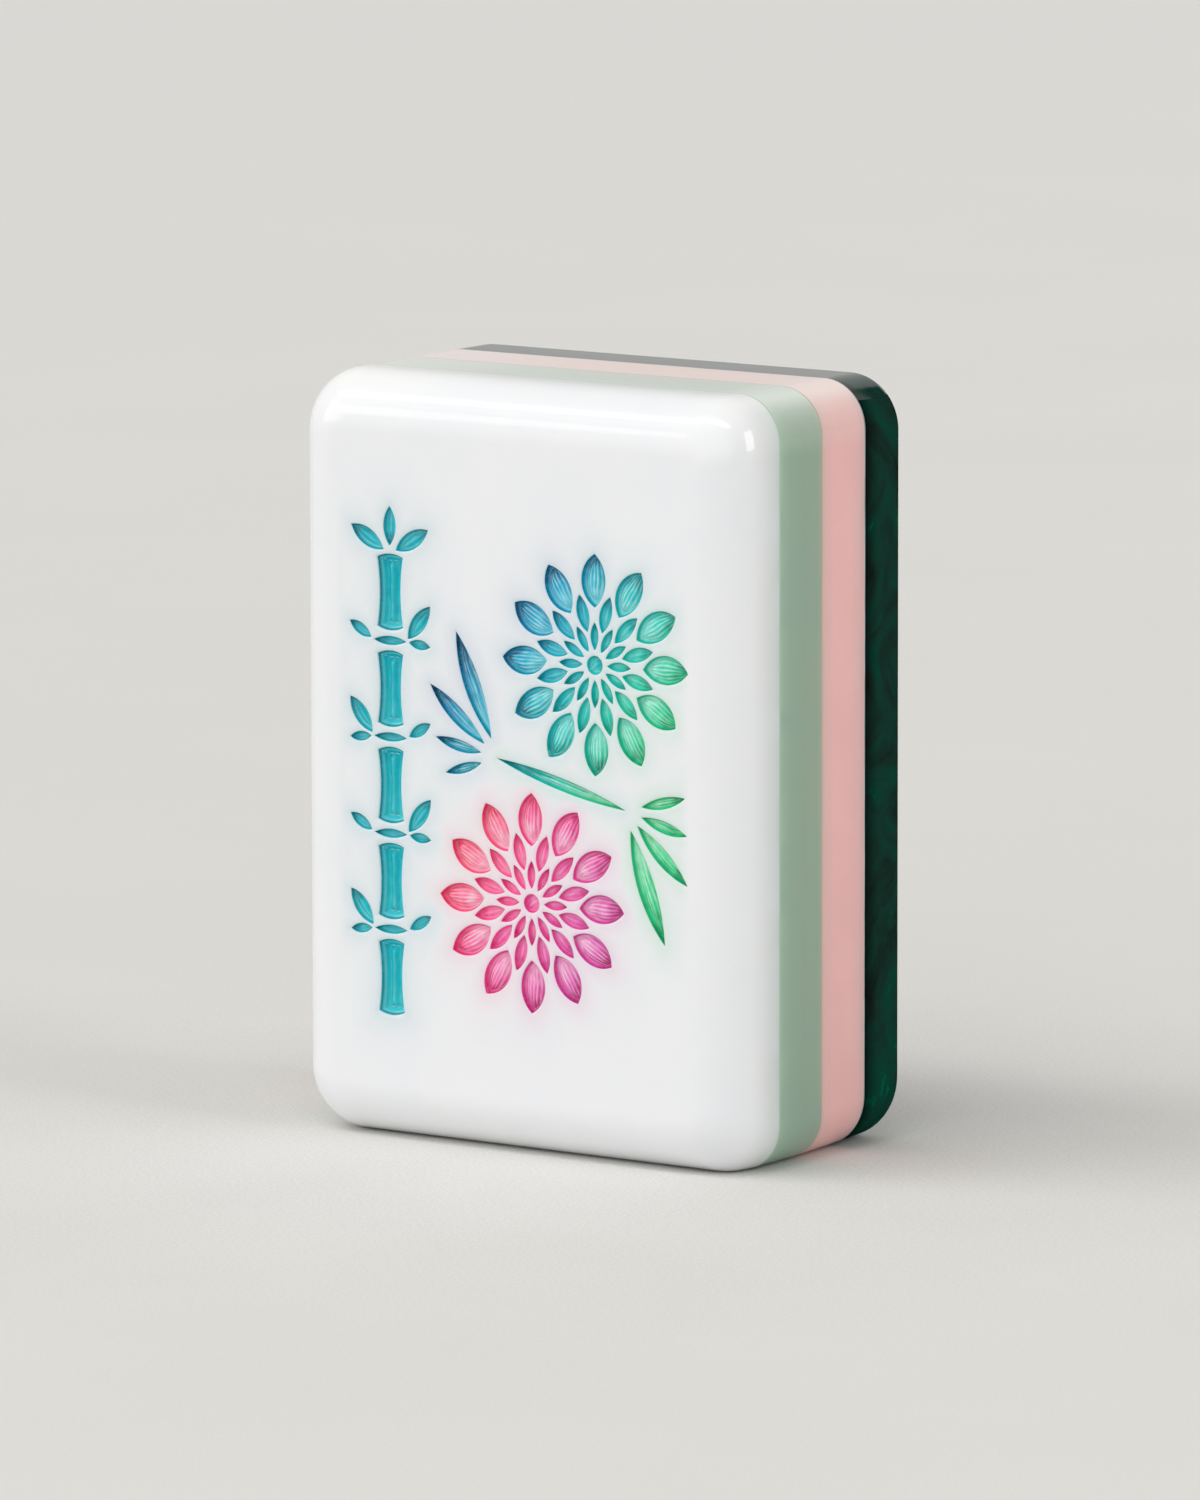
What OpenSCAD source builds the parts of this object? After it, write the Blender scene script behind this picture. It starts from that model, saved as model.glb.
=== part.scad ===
// A mahjong tile: four plates of acrylic cemented into one block, its face carved and the carving painted.
// It stands on its short end with its length along +Z, its face towards -Y and its plates stacked along +Y.
// Everything is drawn lying down first: x to the right, y up the tile's length, z out of the face.

/* [Tile] */
// Width of the tile across its face
tile_w = 21.1; // [19:0.1:26]
// Length of the tile, its height as it stands
tile_h = 30; // [27:0.1:40]
// Radius of the four corners, seen from the front
corner_r = 2.2; // [1.2:0.1:3]
// Radius of the rolled edge round the face
face_edge_r = 2.2; // [0.6:0.1:3]
// Radius of the rolled edge round the back
back_edge_r = 0.9; // [0.3:0.1:2]

/* [Layers] */
// Thickness of the white face block
face_t = 2.77; // [2:0.01:5]
// Thickness of the sage plate
sage_t = 2.86; // [1:0.01:5]
// Thickness of the pink plate
pink_t = 2.92; // [1:0.01:5]
// Thickness of the emerald back
back_t = 2.97; // [1.5:0.01:5]
// Thickness of each film of cement between two plates
bond_t = 0.06; // [0.02:0.01:0.2]
// Straight wall kept between a rolled edge and the plate's other side
edge_land = 0.3; // [0.1:0.05:1]

/* [Carving] */
// Depth of the carved pockets
pocket_depth = 0.45; // [0.3:0.05:0.9]
// Thickness of the paint on a pocket's floor
paint_t = 0.12; // [0.05:0.01:0.25]
// Gap between the paint and the pocket's wall
paint_gap = 0.02; // [0.01:0.01:0.05]
// Flat face kept clear below the figures
figure_foot = 2.8; // [1:0.1:5]
// Flat face kept clear above the figures
figure_head = 3.2; // [1:0.1:5]

/* [Cane] */
// Width of the cane's column, from leaf tip to leaf tip
column_w = 3.8; // [3:0.1:4.5]
// Flat face kept clear to the left of the column
column_margin = 0.75; // [0.2:0.05:1.5]
// Number of sticks in the cane
stick_count = 5; // [3:1:6]
// Width of a stick at its ends
stick_w = 1.3; // [0.9:0.1:1.5]
// How far a stick's sides draw in at its middle
stick_waist = 0.14; // [0.05:0.01:0.25]
// Rise of a stick's domed ends
stick_dome = 0.14; // [0.05:0.01:0.3]
// Gap between two sticks, with the joint's ring in it
joint_gap = 0.8; // [0.6:0.05:1.2]
// Height of a joint's ring
ring_t = 0.34; // [0.2:0.02:0.4]

/* [Spray] */
// Flat face kept clear between the column and the spray
spray_gap = 0.4; // [0.3:0.05:1]
// Flat face kept clear to the right of the spray
spray_margin = 0.15; // [0.1:0.05:1]
// Number of petals in each ring of a blossom
petal_count = 12; // [8:1:12]

/* [Hidden] */
$fn = 96;
// Facets of the large circles whose short arcs bound a figure
arc_fn = 720;

// Overrun of a cut past the surface that it leaves
cut = 0.5;

// The face's rolled edge, as far as its plate leaves room for it
face_roll = min(face_edge_r, face_t - edge_land);
// The corners are never tighter than the rolled edge that runs round them
rim_r = max(corner_r, face_roll);
// The back's rolled edge, as far as its plate and the corners leave room for it
back_roll = min(back_edge_r, rim_r, back_t - edge_land);

// Heights of the plates' faces, from the front of the tile to its back
tile_t = face_t + sage_t + pink_t + back_t + 3 * bond_t;
face_z = tile_t / 2;
face_back_z = face_z - face_t;
sage_back_z = face_back_z - bond_t - sage_t;
pink_back_z = sage_back_z - bond_t - pink_t;
pocket_z = face_z - pocket_depth;

// The flat of the face, inside its rolled edge
flat_w = tile_w - 2 * face_roll;
flat_h = tile_h - 2 * face_roll;

// The field that the figures fill
field_foot = face_roll + figure_foot;
field_h = flat_h - figure_foot - figure_head;
column_x = column_margin + column_w / 2 - flat_w / 2;
spray_room = flat_w - column_margin - column_w - spray_gap - spray_margin;
spray_x = flat_w / 2 - spray_margin - spray_room / 2;

// The cane: a tuft of leaves on top of the sticks
column_half = column_w / 2;
tuft_share = 0.078;
cane_h = field_h * (1 - tuft_share);
stick_pitch = (cane_h + joint_gap) / stick_count;
stick_h = stick_pitch - joint_gap;
ring_w = stick_w * 1.16;
// How far a joint's leaves stand off its ring
leaf_gap = 0.16;
// Each leaf of a joint: its side, the angle that it rises at, and how far it reaches out of the ring's
// end, as a share of half the column
joint_leaf_shares = [[1, 52, 0.6], [1, -6, 0.6], [-1, 30, 0.6]];
// Each leaf of the tuft: its angle, and its length as a share of half the column
tuft_leaf_shares = [[30, 0.92], [90, 0.8], [150, 0.92]];
// A cane leaf's bulge on each side, as a share of its length
cane_leaf_sag_share = 0.19;

// The spray fills its room and keeps its own proportions, 1.6 times as tall as it is wide
spray_s = min(spray_room, field_h / 1.6);
// Centre and radius of each blossom, as shares of the spray's width, counted from the spray's middle
upper_shares = [0.13, 0.405, 0.37];
lower_shares = [-0.126, -0.414, 0.37];
// The two ends of the branch, its width, and how far the leaves stand off its ends
branch_shares = [[-0.262, 0.061], [0.248, -0.069]];
branch_w_share = 0.042;
leaf_stand_share = 0.07;
// Each leaf at a branch end: its angle, its length as a share of the spray's width, and the bulge of its
// two sides as shares of its length
left_leaf_shares = [
    [112, 0.375, [0.1, 0.075]], [140, 0.285, [0.11, 0.085]],
    [168, 0.185, [0.12, 0.09]], [197, 0.15, [0.12, 0.1]]
];
right_leaf_shares = [
    [14, 0.175, [0.1, 0.12]], [-15, 0.185, [0.1, 0.12]],
    [-43, 0.27, [0.085, 0.11]], [-70, 0.395, [0.075, 0.1]]
];

// Each ring of petals: where it starts and ends, as shares of the blossom's radius, the bulge of a
// petal's two sides, as shares of its length, and its turn, as a share of the step between petals
outer_ring_shares = [0.52, 1, [0.3, 0.24], 0];
middle_ring_shares = [0.305, 0.645, [0.205, 0.175], 0.5];
inner_ring_shares = [0.135, 0.385, [0.18, 0.155], 0];
eye_share = 0.085;

// Radius of the arc that rises by sag over a chord
function arc_r(chord, sag) = (chord * chord / 4 + sag * sag) / (2 * sag);

// A pointed leaf from the origin along +X; its sides are arcs, and shrink draws both in alike
module leaf_outline(length, sags, shrink) {
    left_r = arc_r(length, sags[0]);
    right_r = arc_r(length, sags[1]);
    intersection() {
        translate([length / 2, sags[0] - left_r]) circle(r = left_r - shrink, $fn = arc_fn);
        translate([length / 2, right_r - sags[1]]) circle(r = right_r - shrink, $fn = arc_fn);
    }
}

// Turns its children to an angle about a point of the face
module at(point, angle) translate([point[0], point[1]]) rotate([0, 0, angle]) children();

// One stick of the cane about its middle: domed ends and sides that draw in to a waist
module stick_outline(shrink) {
    side_r = arc_r(stick_h, stick_waist);
    end_r = arc_r(stick_w, stick_dome);
    wide = stick_w - 2 * shrink;
    difference() {
        union() {
            square([wide, stick_h - 2 * stick_dome], center = true);
            for (end = [-1, 1])
                intersection() {
                    translate([0, end * (stick_h / 2 - end_r)]) circle(r = end_r - shrink);
                    translate([0, end * stick_h / 4]) square([wide, stick_h / 2], center = true);
                }
        }
        for (side = [-1, 1])
            translate([side * (stick_w / 2 - stick_waist + side_r), 0])
                circle(r = side_r + shrink, $fn = arc_fn);
    }
}

module cane_sticks(shrink)
    for (i = [0 : stick_count - 1])
        translate([column_x, field_foot + i * stick_pitch + stick_h / 2]) stick_outline(shrink);

// The rings and leaves of the joints, with the tuft on the top stick
module cane_leaves(shrink) {
    for (i = [1 : stick_count - 1]) {
        joint_y = field_foot + i * stick_pitch - joint_gap / 2;
        mirrored = i % 2 == 0 ? 1 : -1;
        at([column_x - ring_w / 2, joint_y], 0)
            leaf_outline(ring_w, [ring_t / 2, ring_t / 2], shrink);
        for (leaf = joint_leaf_shares) {
            side = leaf[0] * mirrored;
            length = leaf[2] * column_half / cos(leaf[1]) - leaf_gap;
            at([column_x + side * ring_w / 2, joint_y], 90 - side * (90 - leaf[1]))
                translate([leaf_gap, 0])
                    leaf_outline(length, [1, 1] * cane_leaf_sag_share * length, shrink);
        }
    }
    for (leaf = tuft_leaf_shares) {
        length = leaf[1] * column_half;
        top = [column_x, field_foot + cane_h];
        at(top + [cos(leaf[0]), sin(leaf[0])] * ring_t, leaf[0])
            leaf_outline(length, [1, 1] * cane_leaf_sag_share * length, shrink);
    }
}

// A place on the spray, given as shares of its width from its middle
function spray_at(shares) = [spray_x, field_foot + field_h / 2] + [shares[0], shares[1]] * spray_s;

// A ring of curved petals that point outwards from a blossom's middle
module petal_ring(shares, ring_shares, shrink) {
    radius = shares[2] * spray_s;
    length = radius * (ring_shares[1] - ring_shares[0]);
    step = 360 / petal_count;
    for (i = [0 : petal_count - 1])
        at(spray_at(shares), (i + ring_shares[3]) * step)
            translate([radius * ring_shares[0], 0])
                leaf_outline(length, ring_shares[2] * length, shrink);
}

module blossom_petals(shares, shrink) petal_ring(shares, outer_ring_shares, shrink);

// The heart of a blossom: two rings that nest between the petals outside them, round an eye
module blossom_heart(shares, shrink) {
    petal_ring(shares, middle_ring_shares, shrink);
    petal_ring(shares, inner_ring_shares, shrink);
    translate(spray_at(shares)) circle(r = eye_share * shares[2] * spray_s - shrink);
}

// A fan of leaves that stand off a branch end
module leaf_fan(point, leaf_shares, shrink)
    for (leaf = leaf_shares) {
        length = leaf[1] * spray_s;
        at(point, leaf[0])
            translate([leaf_stand_share * spray_s, 0]) leaf_outline(length, leaf[2] * length, shrink);
    }

// The branch between the blossoms, with a fan of leaves at each end
module branch(shrink) {
    ends = [spray_at(branch_shares[0]), spray_at(branch_shares[1])];
    run = ends[1] - ends[0];
    width = branch_w_share * spray_s;
    at(ends[0], atan2(run[1], run[0])) leaf_outline(norm(run), [1, 1] * width / 2, shrink);
    leaf_fan(ends[0], left_leaf_shares, shrink);
    leaf_fan(ends[1], right_leaf_shares, shrink);
}

// The cutter for a group of figures: from the pockets' floor out through the face
module pocket() translate([0, 0, pocket_z]) linear_extrude(pocket_depth + cut) children();

// Paint that lies on the pockets' floor
module paint() translate([0, 0, pocket_z]) linear_extrude(paint_t) children();

// Section of a plate's rim, from the corner's centre line outwards, with a rolled front edge
module rim_section(t, roll)
    difference() {
        square([rim_r, t]);
        if (roll > 0)
            translate([rim_r - roll, t - roll])
                difference() {
                    square(roll + cut);
                    circle(r = roll);
                }
    }

// A plate with its back on z = 0: a core, four straight rims and four turned corners
module plate(t, roll) {
    core_w = tile_w - 2 * rim_r;
    core_h = tile_h - 2 * rim_r;
    translate([-core_w / 2, -core_h / 2, 0]) cube([core_w, core_h, t]);
    for (turn = [0 : 3]) {
        along = turn % 2 == 0 ? core_h : core_w;
        across = turn % 2 == 0 ? core_w : core_h;
        rotate([0, 0, turn * 90]) {
            translate([across / 2, along / 2, 0])
                rotate([90, 0, 0]) linear_extrude(along) rim_section(t, roll);
            translate([across / 2, along / 2, 0])
                rotate_extrude(angle = 90) rim_section(t, roll);
        }
    }
}

// Stands the drawing up: its length along +Z and its face towards -Y
module stand() rotate([90, 0, 0]) children();

// Puts a plate's back at a height, centred on the standing tile
module layer(back_z) translate([0, tile_h / 2, back_z]) children();

module face_block() color("white") stand()
    difference() {
        layer(face_back_z) plate(face_t, face_roll);
        pocket() cane_sticks(0);
        pocket() cane_leaves(0);
        pocket() branch(0);
        pocket() blossom_petals(upper_shares, 0);
        pocket() blossom_heart(upper_shares, 0);
        pocket() blossom_petals(lower_shares, 0);
        pocket() blossom_heart(lower_shares, 0);
    }

module face_bond() color("ivory") stand() layer(face_back_z - bond_t) plate(bond_t, 0);

module sage_layer() color([0.58, 0.68, 0.59]) stand() layer(sage_back_z) plate(sage_t, 0);

module middle_bond() color("ivory") stand() layer(sage_back_z - bond_t) plate(bond_t, 0);

module pink_layer() color([0.9, 0.71, 0.69]) stand() layer(pink_back_z) plate(pink_t, 0);

module back_bond() color("ivory") stand() layer(pink_back_z - bond_t) plate(bond_t, 0);

// The back plate is rolled on its far side, so it is drawn turned over
module back_layer() color([0.04, 0.2, 0.16]) stand()
    layer(-face_z + back_t) mirror([0, 0, 1]) plate(back_t, back_roll);

module cane_stick_paint() color([0.05, 0.6, 0.65]) stand() paint() cane_sticks(paint_gap);

module cane_leaf_paint() color([0.1, 0.65, 0.65]) stand() paint() cane_leaves(paint_gap);

module branch_paint() color([0.2, 0.65, 0.45]) stand() paint() branch(paint_gap);

module upper_petal_paint() color([0.05, 0.55, 0.7]) stand()
    paint() blossom_petals(upper_shares, paint_gap);

module upper_heart_paint() color([0.05, 0.35, 0.6]) stand()
    paint() blossom_heart(upper_shares, paint_gap);

module lower_petal_paint() color([0.92, 0.35, 0.5]) stand()
    paint() blossom_petals(lower_shares, paint_gap);

module lower_heart_paint() color([0.75, 0.15, 0.5]) stand()
    paint() blossom_heart(lower_shares, paint_gap);

face_block();
face_bond();
sage_layer();
middle_bond();
pink_layer();
back_bond();
back_layer();
cane_stick_paint();
cane_leaf_paint();
branch_paint();
upper_petal_paint();
upper_heart_paint();
lower_petal_paint();
lower_heart_paint();
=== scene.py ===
# %% [markdown]
# # A mahjong tile of layered acrylic
# The tile is a block of four acrylic plates, white, sage, pink and emerald, cemented together and
# tumbled until it shines. Its white face is carved, and the carving is painted.
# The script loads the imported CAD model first. That model is the frame: every piece made here lies
# where the CAD says, in metres, with the tile standing on z = 0 and its face towards -Y.

import math
from functools import partial

import bmesh
import bpy
import numpy as np
from mathutils import Matrix, Vector, geometry, kdtree, noise


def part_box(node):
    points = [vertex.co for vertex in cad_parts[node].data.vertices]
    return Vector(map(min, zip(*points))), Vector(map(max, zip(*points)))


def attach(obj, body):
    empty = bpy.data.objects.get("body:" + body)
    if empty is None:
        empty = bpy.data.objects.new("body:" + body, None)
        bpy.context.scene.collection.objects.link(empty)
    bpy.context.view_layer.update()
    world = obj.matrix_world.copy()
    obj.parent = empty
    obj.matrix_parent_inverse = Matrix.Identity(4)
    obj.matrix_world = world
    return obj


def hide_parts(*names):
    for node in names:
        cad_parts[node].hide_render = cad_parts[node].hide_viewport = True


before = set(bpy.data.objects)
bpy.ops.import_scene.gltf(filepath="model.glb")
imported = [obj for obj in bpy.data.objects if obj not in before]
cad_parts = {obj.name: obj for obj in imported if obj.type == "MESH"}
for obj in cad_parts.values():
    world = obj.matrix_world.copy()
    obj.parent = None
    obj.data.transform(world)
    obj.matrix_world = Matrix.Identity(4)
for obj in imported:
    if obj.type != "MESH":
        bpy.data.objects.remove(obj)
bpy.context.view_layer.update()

# %% [markdown]
# Sizes in the comments are millimetres, as a maker would write them. Blender works in metres here,
# so every size is a number times MM.

# %% Units and small helpers
MM = 0.001


def select_only(obj):
    """Makes obj the one selected and active object."""
    bpy.ops.object.select_all(action="DESELECT")
    obj.select_set(True)
    bpy.context.view_layer.objects.active = obj


def edit(obj, mode="EDGE"):
    """Opens obj in edit mode with nothing selected and returns its edit mesh."""
    select_only(obj)
    bpy.ops.object.mode_set(mode="EDIT")
    bpy.ops.mesh.select_mode(type=mode)
    bpy.ops.mesh.select_all(action="DESELECT")
    return bmesh.from_edit_mesh(obj.data)


def pick(obj, items, test):
    """Selects the vertices, edges or faces that pass a test, and says how many there are."""
    mesh = bmesh.from_edit_mesh(obj.data)
    found = [item for item in getattr(mesh, items) if test(item)]
    for item in found:
        item.select_set(True)
    bmesh.update_edit_mesh(obj.data)
    return len(found)


def leave_edit():
    """Leaves edit mode, which writes the edit mesh back to the piece."""
    bpy.ops.object.mode_set(mode="OBJECT")


# %% [markdown]
# ## The camera
# The photograph was taken with a long lens, nearly level with the tile, from its right. A camera was
# fitted to the tile's outline and joints: it stands 462 mm away, turned 34.46 degrees to the right of
# the face and 8.69 degrees above it. A long lens keeps the tile's edges almost parallel. The camera is
# then nudged by a tenth of a millimetre, so that the tile sits where it does in the photograph.

# %% Camera at the photograph's angle
CAMERA_TURN = math.radians(34.46)
CAMERA_RISE = math.radians(8.69)
CAMERA_ROLL = math.radians(-0.115)
CAMERA_DISTANCE = 462 * MM
CAMERA_LENS = 285.3
SENSOR_WIDTH = 36
NUDGE_RIGHT = 0.115
NUDGE_UP = 0.152
AIM = Vector((0, 0, 15 * MM))

backward = Vector((
    math.sin(CAMERA_TURN) * math.cos(CAMERA_RISE),
    -math.cos(CAMERA_TURN) * math.cos(CAMERA_RISE),
    math.sin(CAMERA_RISE),
))
level_right = Vector((math.cos(CAMERA_TURN), math.sin(CAMERA_TURN), 0))
upward = backward.cross(level_right)
rightward = math.cos(CAMERA_ROLL) * level_right + math.sin(CAMERA_ROLL) * upward
upward = backward.cross(rightward)
eye = AIM + backward * CAMERA_DISTANCE + (NUDGE_RIGHT * rightward + NUDGE_UP * upward) * MM

camera_data = bpy.data.cameras.new("camera")
camera_data.lens = CAMERA_LENS
camera_data.sensor_width = SENSOR_WIDTH
camera_data.clip_start = 10 * MM
camera_data.clip_end = 20
camera = bpy.data.objects.new("camera", camera_data)
bpy.context.scene.collection.objects.link(camera)
turn = Matrix((rightward, upward, backward)).transposed()
camera.matrix_world = Matrix.Translation(eye) @ turn.to_4x4()
bpy.context.scene.camera = camera
print("camera at, in mm:", [round(x * 1000, 1) for x in eye])

# %% [markdown]
# ## Colours and nodes
# Colours are written as the sRGB hex values that a paint chart or a photo editor shows. The shaders
# want linear light, so one function turns them. One more adds any node, with its settings, its links
# and a colour ramp's stops, so each material below reads as a short list.

# %% Colour and node helpers
def linear(code):
    """An sRGB hex colour as linear red, green, blue and alpha."""
    parts = [int(code[i:i + 2], 16) / 255 for i in (1, 3, 5)]
    return [x / 12.92 if x <= 0.04045 else ((x + 0.055) / 1.055) ** 2.4 for x in parts] + [1]


def set_up(node, settings=None, links=None):
    """Sets a node's properties and sockets by name or number, and links its inputs.

    A link from a node is from its first output.
    """
    for name, value in (settings or {}).items():
        if isinstance(name, str) and hasattr(node, name):
            setattr(node, name, value)
        else:
            node.inputs[name].default_value = value
    for name, source in (links or {}).items():
        socket = source.outputs[0] if isinstance(source, bpy.types.Node) else source
        node.id_data.links.new(socket, node.inputs[name])


def add_node(tree, kind, settings=None, links=None, stops=()):
    """Adds a node and sets it up. Stops fill a colour ramp, each a place with a hex colour or a grey."""
    node = tree.nodes.new("ShaderNode" + kind)
    set_up(node, settings, links)
    if stops:
        elements = node.color_ramp.elements
        elements.remove(elements[1])
    for i, (place, colour) in enumerate(stops):
        stop = elements.new(place) if i else elements[0]
        stop.position = place
        stop.color = linear(colour) if isinstance(colour, str) else [colour] * 3 + [1]
    return node


def new_material(name):
    """A material, add_node for its tree, the socket for places on the piece, and the shader."""
    material = bpy.data.materials.new(name)
    material.use_nodes = True
    material.node_tree.nodes.clear()
    add = partial(add_node, material.node_tree)
    place = add("TexCoord").outputs["Object"]
    shader = add("BsdfPrincipled")
    add("OutputMaterial", None, {"Surface": shader})
    return material, add, place, shader


# %% [markdown]
# ## The floor and the light
# The tile stands on pale matte board in a light tent, as in a product photo. The board's grain fades
# away from the tile, where a lens would blur it, and the board is painted paler far behind: painted
# light for the brighter back of the tent. The polished edges show where the lamps were. A wide, narrow
# soft box above the front is the white band along the rolled top, and its end is the pointed glint on
# the corner. Dimmer cloth round it softens the band. A tall window on the right is the second glint. A
# low box lights the left edge and throws the shadow to the right, and a dim one by the camera fills the
# right-hand roll.

# %% Floor
FLOOR_SIDE = 8.0

bpy.ops.object.select_all(action="DESELECT")
bpy.ops.mesh.primitive_plane_add(size=FLOOR_SIDE, location=(0, 0, 0))
floor = bpy.context.object
floor.name = "floor"
print("floor side in m:", FLOOR_SIDE)

# %% Board material
BOARD_GRAIN = MM / 7
BOARD_CLOUD = 25 * MM
GRAIN_SHARP = 14 * MM
GRAIN_SOFT = 45 * MM
PAINTED_LIGHT_FROM = 20 * MM
PAINTED_LIGHT_TO = 450 * MM

board, add, place, shader = new_material("matte pale board")
grain = add("TexNoise", {"Scale": 1 / BOARD_GRAIN, "Detail": 3, "Roughness": 0.65}, {"Vector": place})
cloud = add("TexNoise", {"Scale": 1 / BOARD_CLOUD, "Detail": 3}, {"Vector": place})
mottle = add("Mix", {"data_type": "FLOAT", 0: 0.3}, {2: grain, 3: cloud})
tint = add("ValToRGB", None, {"Fac": mottle}, [(0.3, "#d2d1cd"), (0.7, "#f0efec")])
away = add("VectorMath", {"operation": "LENGTH"}, {0: place})
fainter = add(
    "MapRange",
    {"From Min": GRAIN_SHARP, "From Max": GRAIN_SOFT, "To Min": 0.1, "To Max": 0.75},
    {"Value": away.outputs["Value"]},
)
even = add("Mix", {"data_type": "RGBA", 7: linear("#e1e0dc")}, {0: fainter, 6: tint})
spot = add("SeparateXYZ", None, {0: place})
# Painted light: the board is mixed towards near white far behind the tile.
painted_light_behind = add(
    "MapRange", {"From Min": PAINTED_LIGHT_FROM, "From Max": PAINTED_LIGHT_TO, "To Max": 0.6},
    {"Value": spot.outputs["Y"]},
)
board_and_painted_light = add("Mix", {"data_type": "RGBA", 7: linear("#fbfaf7")}, {0: painted_light_behind, 6: even.outputs[2]})
relief = add("Bump", {"Strength": 0.25, "Distance": 0.05 * MM}, {"Height": grain})
set_up(
    shader, {"Roughness": 0.9, "Specular IOR Level": 0.2},
    {"Base Color": board_and_painted_light.outputs[2], "Normal": relief},
)
floor.data.materials.append(board)
print("board grain in mm:", round(BOARD_GRAIN / MM, 3))

# %% Soft boxes
# Each row has a name, a place in metres from the tile's middle, the way the box's back faces,
# its width and height in metres, and its power in watts.
for name, place, away, size, power in (
    ("top box", (-0.35, -0.45, 1.0), (0, -0.42, 0.907), (1.7, 0.2), 2.8),
    ("cloth round the top box", (-0.35, -0.55, 1.03), (0, -0.42, 0.907), (1.8, 0.66), 1.4),
    ("left box", (-1.92, -1.38, 0.83), (-0.77, -0.55, 0.33), (1.4, 1.2), 7.0),
    ("front box", (0.9, -1.44, 0.63), (0.5, -0.8, 0.35), (1.2, 1.0), 2.0),
    ("right window", (0.9, -0.03, 0.42), (0.9, -0.03, 0.42), (0.3, 0.58), 2.2),
):
    data = bpy.data.lights.new(name, "AREA")
    data.shape = "RECTANGLE"
    data.size, data.size_y = size
    data.energy = power
    lamp = bpy.data.objects.new(name, data)
    bpy.context.scene.collection.objects.link(lamp)
    lamp.location = AIM + Vector(place)
    lamp.rotation_euler = Vector(away).to_track_quat("Z", "Y").to_euler()
    print(name, "in watts:", power)

# %% [markdown]
# The tent is a little brighter towards the left and the floor, and glows softly at the front left. It
# has a gap behind the tile, a little to the right, where the dark room shows. Only the polished corner
# on that side mirrors the gap, as the black band on the emerald and the deeper lines across sage and
# pink. A Mapping node turns each heading into places within the gap, so that the gap's edge is 1.

# %% World
TENT_LEVEL = 0.56
TENT_LEAN = (-0.18, 0.0, -0.06)
GLOW_HEADING = (-0.35, -0.83, 0.43)
GLOW_START = 0.5
GLOW_LEVEL = 0.45
GAP_MIDDLE = (0.19, 0.89, 0.27)
GAP_TURN = math.radians(34)
GAP_SIZE = (0.37, 0.4, 0.14)
GAP_STOPS = ((0.0, "#202020"), (0.84, "#202020"), (0.92, "#c8c8c8"), (1.0, "#fefdfb"))

world = bpy.data.worlds.new("studio")
bpy.context.scene.world = world
world.use_nodes = True
world.node_tree.nodes.clear()
add = partial(add_node, world.node_tree)
heading = add("TexCoord").outputs["Generated"]
lean = add("VectorMath", {"operation": "DOT_PRODUCT", 1: TENT_LEAN}, {0: heading})
toward_glow = add("VectorMath", {"operation": "DOT_PRODUCT", 1: GLOW_HEADING}, {0: heading})
glow = add(
    "MapRange",
    {
        "interpolation_type": "SMOOTHSTEP", "From Min": GLOW_START,
        "To Min": TENT_LEVEL, "To Max": TENT_LEVEL + GLOW_LEVEL,
    },
    {"Value": toward_glow.outputs["Value"]},
)
level = add("Math", {"operation": "ADD"}, {0: lean.outputs["Value"], 1: glow})
in_gap = add(
    "Mapping",
    {"vector_type": "TEXTURE", "Location": GAP_MIDDLE, "Rotation": (0, GAP_TURN, 0), "Scale": GAP_SIZE},
    {"Vector": heading},
)
from_gap = add("VectorMath", {"operation": "LENGTH"}, {0: in_gap.outputs["Vector"]})
walls = add("ValToRGB", None, {"Fac": from_gap.outputs["Value"]}, GAP_STOPS)
room = add("Background", None, {"Color": walls, "Strength": level})
add("OutputWorld", None, {"Surface": room})
bpy.context.scene.view_settings.view_transform = "Standard"
print("tent level:", TENT_LEVEL, "with its glow:", TENT_LEVEL + GLOW_LEVEL)

# %% [markdown]
# ## The plates
# The sage, pink and emerald plates were sawn from cast sheet and cemented into one block before its
# corners were rounded, so all of them share one outline. Each starts as a cube at the size and place
# of its CAD node. Its four corners get a round bevel, and the emerald one a smaller roll round its back
# edge. Tumbling never wears four corners alike: in the photograph the right-hand ones are a little
# tighter than the 2.2 mm of the CAD, and the lower one opens out towards the back. The CAD node itself
# has flat facets at its corners, which a polished edge doesn't, so the bevels use many segments and the
# normals are weighted by face area: the wide flats then stay flat in their reflections.

# %% Plate helpers
CORNER_RADIUS = 2.2 * MM
TIGHT_CORNER_RADIUS = 1.85 * MM
CORNER_SEGMENTS = 20
ALL_CORNERS = ((-1, -1), (-1, 1), (1, -1), (1, 1))
SIDE_FACE = 10.5 * MM
SMOOTH_ANGLE = math.radians(35)
HAIR = 0.002 * MM


def cube_for(node, name):
    """A cube primitive with the size and place of a CAD node."""
    low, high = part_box(node)
    bpy.ops.object.select_all(action="DESELECT")
    bpy.ops.mesh.primitive_cube_add(size=1, location=(low + high) / 2, scale=high - low)
    obj = bpy.context.object
    obj.name = name
    bpy.ops.object.transform_apply()
    return obj


def round_corners(obj):
    """Bevels the four edges that run through a plate. The right-hand ones are tighter."""
    count = 0
    for side, radius in ((-1, CORNER_RADIUS), (1, TIGHT_CORNER_RADIUS)):
        edit(obj)
        count += pick(
            obj, "edges",
            lambda e: abs((e.verts[0].co - e.verts[1].co).y) > HAIR
            and side * e.verts[0].co.x > SIDE_FACE,
        )
        bpy.ops.mesh.bevel(offset=radius, segments=CORNER_SEGMENTS, affect="EDGES")
        leave_edit()
    return count


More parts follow.
